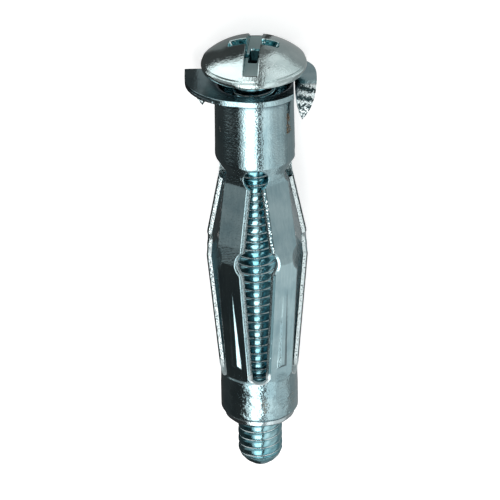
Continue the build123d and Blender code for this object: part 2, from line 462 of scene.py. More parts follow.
@dataclass(frozen=True)
class ZincFinish:
    """Bright zinc plate with its tint, its fine grain and its soft edges. Lengths in mm."""

    name: str
    bright: Colour
    deep: Colour
    clouds: Grain = Grain(260.0, 3.0)
    cloud_share: Ramp = Ramp(0.35, 0.68, 0.0, 0.7)
    lines: Grain = Grain(2600.0, 2.0, (1.0, 0.05, 1.0))
    line_share: Ramp = Ramp(0.35, 0.65, 0.0, 0.3)
    line_depth: float = 0.05
    line_strength: float = 0.12
    frost: Grain = Grain(5200.0, 3.0, roughness=0.7)
    frost_rough: Ramp = Ramp(0.3, 0.7, 0.06, 0.15)
    waves: Grain = Grain(420.0, 1.0, offset=(0.3, 0.1, 0.7))
    wave_depth: float = 0.5
    wave_strength: float = 0.036
    grain: Grain = Grain(3600.0, 2.0, offset=(0.4, 0.9, 0.2), roughness=0.6)
    grain_depth: float = 0.045
    grain_strength: float = 0.8
    edge_round: float = 0.16
    edge_samples: int = 8

    def colour(self, sheet: ShaderSheet) -> Socket:
        """Tint of the plate, clouded and drawn out along the axis."""
        cloud = sheet.speckle(self.clouds, self.cloud_share)
        drawn = sheet.speckle(self.lines, self.line_share)
        return sheet.blend(sheet.plus(cloud, drawn), self.bright, self.deep)

    def rough(self, sheet: ShaderSheet) -> Socket:
        """Roughness of the plate."""
        return sheet.speckle(self.frost, self.frost_rough)

    def metal(self, sheet: ShaderSheet) -> object:
        """Share of bare metal, 1 where nothing covers the plate."""
        return 1.0

    def relief(self, sheet: ShaderSheet) -> Socket:
        """Normal with soft edges, waves, draw lines and grain."""
        soft = sheet.node("ShaderNodeBevel", samples=self.edge_samples)
        soft.inputs["Radius"].default_value = self.edge_round * MM
        normal = soft.outputs["Normal"]
        for grain, depth, strength in (
            (self.waves, self.wave_depth, self.wave_strength),
            (self.lines, self.line_depth, self.line_strength),
            (self.grain, self.grain_depth, self.grain_strength),
        ):
            normal = sheet.dent(sheet.noise(grain), depth, strength, normal)
        return normal

    def build(self) -> bpy.types.Material:
        """Make the material.

        Returns:
            The material.
        """
        sheet = ShaderSheet(self.name)
        shader = sheet.node("ShaderNodeBsdfPrincipled")
        for name, value in (("Base Color", self.colour(sheet)), ("Metallic", self.metal(sheet)),
                            ("Roughness", self.rough(sheet)), ("Normal", self.relief(sheet))):
            sheet.feed(shader.inputs[name], value)
        sheet.tree.links.new(shader.outputs["BSDF"], sheet.output.inputs["Surface"])
        return sheet.material


@dataclass(frozen=True)
class SleeveFinish(ZincFinish):
    """Zinc plate on the sleeve, with torn sheared edges, speckled claws and brown marks, and with
    painted shade and painted highlights.
    """

    cut: Colour = (0.66, 0.76, 0.77)
    cut_shade: Colour = (0.05, 0.09, 0.10)
    side_facing: Ramp = Ramp(0.42, 0.6, 1.0, 0.0)
    end_facing: Ramp = Ramp(0.75, 0.9, 1.0, 0.0)
    torn: Grain = Grain(4400.0, 2.0, offset=(0.2, 0.4, 0.1))
    torn_share: Ramp = Ramp(0.32, 0.46, 0.15, 1.0)
    torn_rough: float = 0.08
    scars: Grain = Grain(3400.0, 3.0, offset=(0.1, 0.8, 0.3), roughness=0.65)
    scar_on_edges: float = 0.45
    scar_depth: float = 0.16
    scar_strength: float = 0.9
    leg_count: int = 5
    # pitted edge with painted shade: one edge of each leg gets pale pits on a dark line, mostly
    # dark on the lower legs
    burr_beside: Ramp = Ramp(-1.87, -1.81, 1.0, 0.0)
    burr_low: Ramp = Ramp(-43.6, -43.2)
    burr_high: Ramp = Ramp(-13.6, -13.0, 1.0, 0.0)
    pits: Grain = Grain(4200.0, 1.0, offset=(0.6, 0.3, 0.8))
    pit_share: Ramp = Ramp(0.6, 0.68)
    pits_upper: Ramp = Ramp(-25.5, -24.0, -0.1, 0.04)
    # painted highlight: a pale matt band round each slot's lower end
    lip_y: float = -43.05
    lip_reach: Ramp = Ramp(1.6, 1.7, 0.85, 0.0)
    lip_lower: Ramp = Ramp(-0.3, 0.4, 1.0, 0.0)
    slot_end_facing: Ramp = Ramp(0.35, 0.55)
    slot_end_low: Ramp = Ramp(-45.3, -45.0)
    slot_end_high: Ramp = Ramp(-43.1, -42.8, 1.0, 0.0)
    rim_dull: float = 0.8
    # painted shade in the flange's mouth, under the screw's head
    painted_mouth_shade: Colour = (0.03, 0.06, 0.085)
    mouth_reach: Ramp = Ramp(5.5, 7.0, 0.9, 0.0)
    mouth_low: Ramp = Ramp(-1.5, -0.5)
    ear_beside: Ramp = Ramp(5.7, 6.0)
    ear_low: Ramp = Ramp(-9.0, -8.0)
    ear_sideways: Ramp = Ramp(0.4, 0.6, 0.0, 0.85)
    claw_under: Ramp = Ramp(0.3, 0.5, 1.0, 0.0)
    # claw colours: the pale share is partly painted highlight
    claw_bright: Colour = (0.80, 0.90, 0.91)
    claw_dark: Colour = (0.03, 0.055, 0.06)
    claw_speckle: Grain = Grain(3600.0, 3.0, offset=(0.9, 0.4, 0.1), roughness=0.7)
    claw_speckle_share: Ramp = Ramp(0.48, 0.55)
    # painted reflection bands across the claws' bend
    band_step: float = 1.1
    band_slope: float = 1.2
    band_drift: Grain = Grain(900.0, 2.0, offset=(0.1, 0.6, 0.2))
    band_drift_turn: float = 5.0
    band_weight: Ramp = Ramp(-2.2, -1.0, 0.03, 0.14)
    stains: Tuple[Stain, ...] = ()
    stain_colour: Colour = (0.035, 0.022, 0.01)
    stain_specks: Colour = (0.30, 0.23, 0.13)
    stain_fray: Grain = Grain(1500.0, 3.0, offset=(0.5, 0.2, 0.3), roughness=0.65)
    speck_grain: Grain = Grain(5200.0, 1.0, offset=(0.1, 0.2, 0.7))
    speck_share: Ramp = Ramp(0.54, 0.6)
    stain_rough: float = 0.35
    collar_high: Ramp = Ramp(-44.6, -44.2, 1.0, 0.0)
    dents: Grain = Grain(300.0, 3.0, (1.0, 1.7, 1.0), (0.35, 0.15, 0.6), 0.55)
    dent_depth: float = 0.35
    dent_strength: float = 1.0

    def sheared(self, sheet: ShaderSheet) -> Socket:
        """Share of sheared edge: 1 where a face looks along the sleeve's wall."""
        flat = sheet.vector("MULTIPLY", sheet.object_coords, FLAT)
        outward = sheet.vector("NORMALIZE", flat)
        facing = sheet.facing()
        across = sheet.vector("DOT_PRODUCT", outward, facing, out="Value")
        side = sheet.span(sheet.calc("ABSOLUTE", across), self.side_facing)
        not_end = sheet.span(sheet.calc("ABSOLUTE", sheet.part(facing, "Y")), self.end_facing)
        return sheet.times(side, not_end)

    def beside(self, sheet: ShaderSheet, first: float) -> Socket:
        """Sideways distance from the nearest of the evenly turned leg or slot middles.

        Args:
            sheet: The material's node sheet.
            first: Place of the first middle, in steps from straight up.

        Returns:
            The distance in metres, positive to the right of the middle.
        """
        step = 2.0 * math.pi / self.leg_count
        turn = sheet.calc("ARCTAN2", sheet.place("X"), sheet.place("Z"))
        share = sheet.calc("SUBTRACT", sheet.calc("DIVIDE", turn, step), first)
        nearest = sheet.calc("ROUND", share)
        off = sheet.times(sheet.calc("SUBTRACT", share, nearest), step)
        return sheet.times(sheet.off_axis(), sheet.calc("SINE", off))

    def burr_and_painted_shade(self, sheet: ShaderSheet) -> Socket:
        """Share of pitting and painted shade: 1 along one edge of each leg, pale pits on a dark
        line that stands in for shade on the edge.
        """
        edge = sheet.span(self.beside(sheet, 0.5), self.burr_beside, MM)
        along = sheet.place("Y")
        legs_only = sheet.times(sheet.span(along, self.burr_low, MM),
                                sheet.span(along, self.burr_high, MM))
        return sheet.times(edge, legs_only, sheet.inverse(self.sheared(sheet)))

    def painted_rim_highlight(self, sheet: ShaderSheet) -> Socket:
        """Share of painted highlight: 1 on a pale band round each slot's lower end, where the
        rounded rim catches light.
        """
        beside = self.beside(sheet, 0.0)
        along = sheet.calc("SUBTRACT", sheet.place("Y"), self.lip_y * MM)
        squares = sheet.plus(sheet.times(beside, beside), sheet.times(along, along))
        rim = sheet.span(sheet.calc("SQRT", squares), self.lip_reach, MM)
        return sheet.times(rim, sheet.span(along, self.lip_lower, MM))

    def slot_end(self, sheet: ShaderSheet) -> Socket:
        """Share of slot end: 1 on the punched wall that closes each slot at the collar."""
        upward = sheet.span(sheet.part(sheet.facing(), "Y"), self.slot_end_facing)
        along = sheet.place("Y")
        near = sheet.times(sheet.span(along, self.slot_end_low, MM),
                           sheet.span(along, self.slot_end_high, MM))
        return sheet.times(upward, near)

    def painted_mouth_shade_share(self, sheet: ShaderSheet) -> Socket:
        """Share of painted shade: 1 inside the flange's rolled mouth under the screw's head,
        fading out on its face.
        """
        inner = sheet.span(sheet.off_axis(), self.mouth_reach, MM)
        return sheet.times(inner, sheet.span(sheet.place("Y"), self.mouth_low, MM))

    def beyond_ears(self, sheet: ShaderSheet) -> Socket:
        """Share of ear or claw: 1 beside the flange's disc, above the leg cage."""
        beside = sheet.span(sheet.calc("ABSOLUTE", sheet.place("X")), self.ear_beside, MM)
        return sheet.times(beside, sheet.span(sheet.place("Y"), self.ear_low, MM))

    def clawed(self, sheet: ShaderSheet) -> Socket:
        """Share of claw: 1 on both claws, 0 on the rest of the sleeve."""
        under = sheet.span(sheet.place("Y"), self.claw_under, MM)
        return sheet.times(self.beyond_ears(sheet), under)

    def ear_edge(self, sheet: ShaderSheet) -> Socket:
        """Share of dark cut edge, highest on the sides of the ears and the claws."""
        turned = sheet.calc("ABSOLUTE", sheet.part(sheet.facing(), "X"))
        return sheet.times(self.beyond_ears(sheet), sheet.span(turned, self.ear_sideways))

    def claw_specks_and_painted_bands(self, sheet: ShaderSheet) -> Socket:
        """Bright share of the claws' speckle, with painted reflection bands across the bend."""
        along = sheet.place("Y")
        turns = sheet.times(along, 2.0 * math.pi / (self.band_step * MM))
        slope = sheet.times(sheet.place("X"), self.band_slope / MM)
        drift = sheet.times(sheet.noise(self.band_drift), self.band_drift_turn)
        painted_bands = sheet.calc("SINE", sheet.plus(turns, slope, drift))
        bands = sheet.times(painted_bands, sheet.span(along, self.band_weight, MM))
        return sheet.span(sheet.plus(sheet.noise(self.claw_speckle), bands), self.claw_speckle_share)

    def marked(self, sheet: ShaderSheet) -> Socket:
        """Share of all brown marks together."""
        ragged = sheet.noise(self.stain_fray)
        marks: object = 0.0
        for stain in self.stains:
            marks = sheet.calc("MAXIMUM", marks, stain.mask(sheet, ragged))
        return marks

    def colour(self, sheet: ShaderSheet) -> Socket:
        """Tint of the plate, lighter and pitted where it was sheared, brown in the marks; painted
        shade in the mouth and along one pitted edge of each leg, painted highlights round the slot
        ends and painted reflection bands on the claws.
        """
        raw = sheet.blend(sheet.speckle(self.torn, self.torn_share), self.cut_shade, self.cut)
        upper = sheet.span(sheet.place("Y"), self.pits_upper, MM)
        pits = sheet.span(sheet.plus(upper, sheet.noise(self.pits)), self.pit_share)
        burr_and_shade = sheet.blend(pits, self.cut_shade, self.cut)
        claw_tone = sheet.blend(self.claw_specks_and_painted_bands(sheet), self.claw_dark, self.claw_bright)
        specks = sheet.speckle(self.speck_grain, self.speck_share)
        brown = sheet.blend(specks, self.stain_colour, self.stain_specks)
        tint = super().colour(sheet)
        # coats in turn; the mouth's dark, the dark line on the leg edges, the pale band round the
        # slot ends and the claws' bands are painted shade and light
        for share, coat in (
            (self.sheared(sheet), raw), (self.burr_and_painted_shade(sheet), burr_and_shade), (self.painted_rim_highlight(sheet), self.cut),
            (self.slot_end(sheet), self.cut), (self.clawed(sheet), claw_tone),
            (self.ear_edge(sheet), self.cut_shade), (self.painted_mouth_shade_share(sheet), self.painted_mouth_shade),
            (self.marked(sheet), brown),
        ):
            tint = sheet.blend(share, tint, coat)
        return tint

    def rough(self, sheet: ShaderSheet) -> Socket:
        """Roughness, higher on sheared edges and in the marks."""
        return sheet.plus(super().rough(sheet), sheet.times(self.sheared(sheet), self.torn_rough),
                          sheet.times(self.marked(sheet), self.stain_rough))

    def metal(self, sheet: ShaderSheet) -> Socket:
        """Share of bare metal, less in the marks, on the slot ends' walls and on the painted rim
        highlight round them, which are matt.
        """
        rims = sheet.calc("MAXIMUM", self.slot_end(sheet), self.painted_rim_highlight(sheet))
        dull = sheet.calc("MAXIMUM", self.marked(sheet), rims)
        return sheet.inverse(sheet.times(dull, self.rim_dull))

    def relief(self, sheet: ShaderSheet) -> Socket:
        """Normal of the plate, scarred on sheared edges and claws, dented on the collar."""
        edges = sheet.times(self.sheared(sheet), self.scar_on_edges)
        scarred = sheet.calc("MAXIMUM", edges, self.clawed(sheet))
        scars = sheet.times(sheet.noise(self.scars), scarred)
        normal = sheet.dent(scars, self.scar_depth, self.scar_strength, super().relief(sheet))
        on_collar = sheet.span(sheet.place("Y"), self.collar_high, MM)
        dents = sheet.times(sheet.noise(self.dents), on_collar)
        return sheet.dent(dents, self.dent_depth, self.dent_strength, normal)


@dataclass(frozen=True)
class ScrewFinish(ZincFinish):
    """Zinc plate on the screw: blue-green thread with a painted highlight line in its groove,
    greyer grained head with painted glints and shade in its recess.
    """

    head_low: Ramp = Ramp(2.6, 2.7)
    head_bright: Colour = (0.58, 0.70, 0.70)
    head_deep: Colour = (0.48, 0.60, 0.60)
    head_clouds: Grain = Grain(260.0, 3.0, offset=(0.6, 0.2, 0.2))
    head_cloud_share: Ramp = Ramp(0.35, 0.68)
    sparkle: Grain = Grain(3400.0, 2.0, offset=(0.7, 0.1, 0.5), roughness=0.6)
    sparkle_depth: float = 0.04
    sparkle_strength: float = 0.9
    dome_centre_y: float = -3.48
    dome_skin: Ramp = Ramp(10.21, 10.33, 1.0, 0.0)
    cut_reach: Ramp = Ramp(6.4, 6.6, 1.0, 0.0)
    cut_wall: Colour = (0.22, 0.50, 0.54)
    # painted glints and dark reflections on the recess walls
    painted_wall_dark: Colour = (0.02, 0.06, 0.07)
    painted_wall_glint: Colour = (0.95, 1.0, 1.0)
    glints: Grain = Grain(2300.0, 2.0, offset=(0.15, 0.55, 0.35), roughness=0.6)
    glint_dark: Ramp = Ramp(0.40, 0.46, 0.9, 0.0)
    glint_bright: Ramp = Ramp(0.55, 0.60, 0.0, 0.9)
    # painted shade deep in the cross recess
    painted_recess_shade: Colour = (0.01, 0.03, 0.035)
    recess_high: Ramp = Ramp(4.25, 4.45, 1.0, 0.0)
    recess_right: Ramp = Ramp(-0.75, -0.6)
    slot_floor: Colour = (0.42, 0.55, 0.55)
    floor_facing: Ramp = Ramp(0.9, 0.97)
    floor_low: Ramp = Ramp(4.3, 4.45)
    floor_rough: float = 0.35
    floor_dull: float = 0.5
    thread_rough: float = 0.065
    # painted highlight: a pale matt line in the thread's groove, with painted dark reflection
    # specks near its top and bottom
    painted_root_highlight: Colour = (0.95, 1.0, 1.0)
    painted_root_dark: Colour = (0.03, 0.08, 0.09)
    root_reach: Ramp = Ramp(2.798, 2.98, 1.0, 0.0)
    root_low: Ramp = Ramp(-58.2, -57.6)
    root_front: Ramp = Ramp(0.6, 1.3, 1.0, 0.0)
    root_specks: Grain = Grain(5600.0, 1.0, offset=(0.3, 0.8, 0.6))
    root_speck_share: Ramp = Ramp(0.44, 0.52, 0.85, 0.0)
    root_dull: float = 0.75

    def on_head(self, sheet: ShaderSheet) -> Socket:
        """Share of head: 1 above the head's underside."""
        return sheet.span(sheet.place("Y"), self.head_low, MM)

    def painted_root_line(self, sheet: ShaderSheet) -> Socket:
        """Share of the painted highlight line: 1 at the bottom of the thread, 0 on the screw's
        end.
        """
        low = sheet.span(sheet.off_axis(), self.root_reach, MM)
        side = sheet.span(sheet.place("Y"), self.root_low, MM)
        return sheet.times(low, side, sheet.inverse(self.on_head(sheet)))

    def in_cut(self, sheet: ShaderSheet) -> Socket:
        """Share of slot and recess: 1 below the dome's own surface."""
        centre = (0.0, self.dome_centre_y * MM, 0.0)
        offset = sheet.vector("SUBTRACT", sheet.object_coords, centre)
        below = sheet.span(sheet.vector("LENGTH", offset, out="Value"), self.dome_skin, MM)
        inner = sheet.span(sheet.off_axis(), self.cut_reach, MM)
        return sheet.times(below, inner, self.on_head(sheet))

    def level_cut(self, sheet: ShaderSheet) -> Socket:
        """Share of slot floor: 1 where the cut faces straight up the axis."""
        level = sheet.span(sheet.part(sheet.facing(), "Y"), self.floor_facing)
        high = sheet.span(sheet.place("Y"), self.floor_low, MM)
        return sheet.times(self.in_cut(sheet), level, high)

    def colour(self, sheet: ShaderSheet) -> Socket:
        """Blue-green on the thread with a painted highlight line in its groove, greyer on the
        head, with painted glints and shade in the recess.
        """
        cloud = sheet.speckle(self.head_clouds, self.head_cloud_share)
        head = sheet.blend(cloud, self.head_bright, self.head_deep)
        deep = sheet.span(sheet.place("Y"), self.recess_high, MM)
        right = sheet.span(sheet.place("X"), self.recess_right, MM)
        # painted glints, dark reflections and shade in the recess
        glint = sheet.noise(self.glints)
        wall = sheet.blend(sheet.span(glint, self.glint_dark), self.cut_wall, self.painted_wall_dark)
        wall = sheet.blend(sheet.span(glint, self.glint_bright), wall, self.painted_wall_glint)
        wall = sheet.blend(sheet.times(deep, right), wall, self.painted_recess_shade)
        head = sheet.blend(self.in_cut(sheet), head, wall)
        head = sheet.blend(self.level_cut(sheet), head, self.slot_floor)
        # painted highlight line in the groove, with painted dark reflection specks where it faces
        # up and down
        front = sheet.span(sheet.calc("ABSOLUTE", sheet.place("X")), self.root_front, MM)
        specks = sheet.times(front, sheet.speckle(self.root_specks, self.root_speck_share))
        painted_root_highlight = sheet.blend(specks, self.painted_root_highlight, self.painted_root_dark)
        thread = sheet.blend(self.painted_root_line(sheet), super().colour(sheet), painted_root_highlight)
        return sheet.blend(self.on_head(sheet), thread, head)

    def rough(self, sheet: ShaderSheet) -> Socket:
        """Roughness, higher on the rolled thread and on the slot's floor."""
        rolled = sheet.span(self.on_head(sheet), Ramp(0.0, 1.0, self.thread_rough, 0.0))
        floor = sheet.times(self.level_cut(sheet), self.floor_rough)
        return sheet.plus(super().rough(sheet), sheet.plus(rolled, floor))

    def metal(self, sheet: ShaderSheet) -> Socket:
        """Share of bare metal, less in the matt painted highlight line of the thread and on the
        slot's floor.
        """
        return sheet.inverse(sheet.plus(sheet.times(self.painted_root_line(sheet), self.root_dull),
                                        sheet.times(self.level_cut(sheet), self.floor_dull)))

    def relief(self, sheet: ShaderSheet) -> Socket:
        """Normal of the plate, with a sparkling grain on the head."""
        height = sheet.times(sheet.noise(self.sparkle), self.on_head(sheet))
        return sheet.dent(height, self.sparkle_depth, self.sparkle_strength,
                          super().relief(sheet))


SLEEVE_FINISH = SleeveFinish(
    name="sleeve_zinc",
    bright=(0.42, 0.575, 0.605),
    deep=(0.29, 0.44, 0.48),
    stains=(
        Stain((4.61, -4.27, 3.2), (1.2, 1.85, 1.2), line_width=0.19),
        Stain((4.75, -4.9, 3.0), (1.2, 1.2, 1.2), 0.9, line_width=0.13, wander=2.4),
        Stain((-4.88, -5.28, 2.85), (0.5, 0.4, 0.5), 0.9, line_width=0.12),
        Stain((4.6, -48.0, 3.0), (0.9, 1.5, 1.1), 0.5),
        Stain((0.67, -47.8, 5.42), (0.55, 1.7, 0.8), 0.75),
    ),
)
BUSH_FINISH = ZincFinish(
    name="bush_zinc",
    bright=(0.62, 0.72, 0.74),
    deep=(0.5, 0.62, 0.65),
)
SCREW_FINISH = ScrewFinish(
    name="screw_zinc",
    bright=(0.38, 0.60, 0.64),
    deep=(0.12, 0.36, 0.43),
    grain_strength=0.3,
    line_strength=0.1,
)


def dress(piece: Piece, finish: ZincFinish) -> None:
    """Give a piece one finish in place of the materials it has.

    Args:
        piece: The mesh object.
        finish: Its plating.
    """
    piece.data.materials.clear()
    piece.data.materials.append(finish.build())
    log.info("%s dressed, %d faces", piece.name, len(piece.data.polygons))


@dataclass
class Sleeve:
    """The slotted sleeve with its clawed flange, one piece of sheet."""

    node: str = "expansion_sleeve"
    finish: SleeveFinish = SLEEVE_FINISH

    def build(self) -> None:
        """Dress the sleeve's solid in its zinc plate."""
        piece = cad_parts[self.node]
        dress(piece, self.finish)


@dataclass
class Bush:
    """The threaded bush in the sleeve's collar."""

    node: str = "captive_nut"
    finish: ZincFinish = BUSH_FINISH

    def build(self) -> None:
        """Dress the bush's solid in its zinc plate."""
        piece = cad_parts[self.node]
        dress(piece, self.finish)


# The thread's form, as shares of the pitch along the axis and of the depth outwards.
THREAD_FORM: Tuple[Pair, ...] = (
    (0.0, 0.0), (0.065, 0.42), (0.13, 0.76), (0.235, 0.945), (0.5, 1.0),
    (0.765, 0.945), (0.87, 0.76), (0.935, 0.42), (1.0, 0.0),
)
# The screw's point, as shares of its length and of its rise to the crest.
POINT_FORM: Tuple[Pair, ...] = ((0.3, 0.45), (0.62, 0.8))
# The head's edge in mm, in from its widest circle and up from its underside.
HEAD_EDGE: Tuple[Pair, ...] = (
    (0.3, 0.0), (0.15, 0.06), (0.05, 0.3), (0.0, 0.55),
    (0.03, 0.78), (0.12, 0.93), (0.23, 0.97), (0.27, 1.04),
)


@dataclass
class MachineScrew:
    """The screw: rolled thread, rimmed dome, straight slot and cross recess. Sizes in mm."""

    node: str = "machine_screw"
    finish: ScrewFinish = SCREW_FINISH
    pitch: float = 1.27
    crest_r: float = 3.14
    root_r: float = 2.72
    thread_start: float = 0.35
    thread_steps: int = 48
    turns_below: float = 1.5
    turns_above: float = 2.0
    end_y: float = -59.7
    end_chamfer: Pair = (0.3, 0.12)
    point_y: float = -57.3
    point_r: float = 1.35
    envelope_spare: float = 0.01
    envelope_steps: int = 64
    head_overlap: float = 0.4
    under_y: float = 2.82
    rim_r: float = 7.4
    rim_y: float = 3.87
    top_y: float = 6.95
    dome_start: float = 0.035
    dome_rings: int = 14
    head_steps: int = 112
    slot_width: float = 2.1
    slot_depth: float = 2.4
    slot_turn: float = -5.0
    slot_round: float = 0.12
    recess_length: float = 8.1
    recess_width: float = 2.2
    recess_depth: float = 4.0
    recess_over: float = 1.0
    recess_flare: float = 1.05
    recess_round: float = 0.22
    floor_length: float = 2.4
    floor_width: float = 0.9
    smooth_angle: float = 38.0

    def thread(self) -> Piece:
        """Roll the thread as one helical surface and trim it to the shank's envelope.

        Returns:
            The threaded shank.
        """
        depth = self.crest_r - self.root_r
        start = self.end_y - self.turns_below * self.pitch + self.thread_start
        stop = self.under_y + self.turns_above * self.pitch
        rolled = draw_chain("thread", [
            (0.0, (start + a * self.pitch) * MM, (self.root_r + b * depth) * MM)
            for a, b in THREAD_FORM
        ])
        apply_modifier(
            rolled, "SCREW", axis="Y", angle=2 * math.pi, steps=self.thread_steps,
            render_steps=self.thread_steps, screw_offset=self.pitch * MM,
            iterations=math.ceil((stop - start) / self.pitch), use_merge_vertices=False,
        )
        close_shell(rolled)
        combine(rolled, self.envelope(), "INTERSECT")
        return rolled

    def envelope(self) -> Piece:
        """Turn the shank's outside: chamfered end, rounded point and straight length.

        Returns:
            The envelope.
        """
        wide = self.crest_r + self.envelope_spare
        high = self.under_y + self.head_overlap
        chamfer_r, chamfer_y = self.end_chamfer
        profile = [(0.0, self.end_y), (self.point_r - chamfer_r, self.end_y),
                   (self.point_r, self.end_y + chamfer_y)]
        profile += [(self.point_r + b * (wide - self.point_r),
                     self.end_y + a * (self.point_y - self.end_y)) for a, b in POINT_FORM]
        profile += [(wide, self.point_y), (wide, high), (0.0, high)]
        return turn_profile("envelope", profile, self.envelope_steps)

    def dome_point(self, share: float) -> Pair:
        """Point of the dome at a share of the way from its edge to its top.

        Args:
            share: 0 at the edge and 1 at the top.

        Returns:
            Radius and place along the axis in millimetres.
        """
        height = self.top_y - self.rim_y
        sphere = (self.rim_r ** 2 + height ** 2) / (2 * height)
        angle = math.asin(self.rim_r / sphere) * (1 - share)
        return sphere * math.sin(angle), self.top_y - sphere * (1 - math.cos(angle))

    def head(self) -> Piece:
        """Turn the head with its rim and cut the slot and the recess into it.

        Returns:
            The head.
        """
        profile = [(0.0, self.under_y)]
        profile += [(self.rim_r - a, self.under_y + b) for a, b in HEAD_EDGE]
        profile += [self.dome_point(self.dome_start + (1 - self.dome_start) * n / self.dome_rings)
                    for n in range(self.dome_rings)]
        head = turn_profile("screw_head", profile + [(0.0, self.top_y)], self.head_steps)
        for cutter in (self.slot_cutter(), self.recess_cutter(0.0), self.recess_cutter(90.0)):
            combine(head, cutter, "DIFFERENCE")
        return head

    def slot_cutter(self) -> Piece:
        """Make the bar that cuts the straight slot across the dome.

        Returns:
            The bar.
        """
        deselect_all()
        bpy.ops.mesh.primitive_cube_add(size=1.0, location=(0, self.top_y * MM, 0))
        bar = bpy.context.object
        bar.scale = (self.slot_width * MM, 2 * self.slot_depth * MM, 4 * self.rim_r * MM)
        bar.rotation_euler = (0.0, math.radians(self.slot_turn), 0.0)
        settle()
        apply_modifier(bar, "BEVEL", width=self.slot_round * MM, segments=2)
        return bar

    def recess_cutter(self, turn: float) -> Piece:
        """Make the tapered wing pair that cuts one arm of the cross recess.

        Args:
            turn: Degrees from the slot's direction.

        Returns:
            The cutter.
        """
        deselect_all()
        bpy.ops.mesh.primitive_cube_add(size=1.0)
        wing = bpy.context.object
        high, low = self.recess_over, self.recess_depth
        wing.scale = (self.recess_width * MM, (high + low) * MM, self.recess_length * MM)
        wing.location = (0.0, (self.top_y + 0.5 * (high - low)) * MM, 0.0)
        settle()
        floor_y = (self.top_y - low) * MM
        for vertex in wing.data.vertices:
            if vertex.co.y < floor_y + WELD:
                vertex.co.x *= self.floor_width / self.recess_width
                vertex.co.z *= self.floor_length / self.recess_length
            else:
                vertex.co.x *= self.recess_flare
                vertex.co.z *= 1.0 + high / low * (1 - self.floor_length / self.recess_length)
        apply_modifier(wing, "BEVEL", width=self.recess_round * MM, segments=2)
        wing.data.transform(Matrix.Rotation(math.radians(self.slot_turn + turn), 4, "Y"))
        return wing

    def build(self) -> None:
        """Model the whole screw as one piece and let it stand for the plain solid."""
        head = self.head()
        shank = self.thread()
        make_active(head)
        shank.select_set(True)
        bpy.ops.object.join()
        head.name = "threaded_screw"
        head.data.name = "threaded_screw"
        smooth(head, self.smooth_angle)
        dress(head, self.finish)
        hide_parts(self.node)
        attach(head, Body.SCREW.value)


# Turns of the cards, in degrees: lying, standing across the axis, standing beside it.
LEVEL: Point = (0.0, 0.0, 0.0)
ACROSS: Point = (90.0, 0.0, 0.0)
BESIDE: Point = (0.0, 90.0, 0.0)


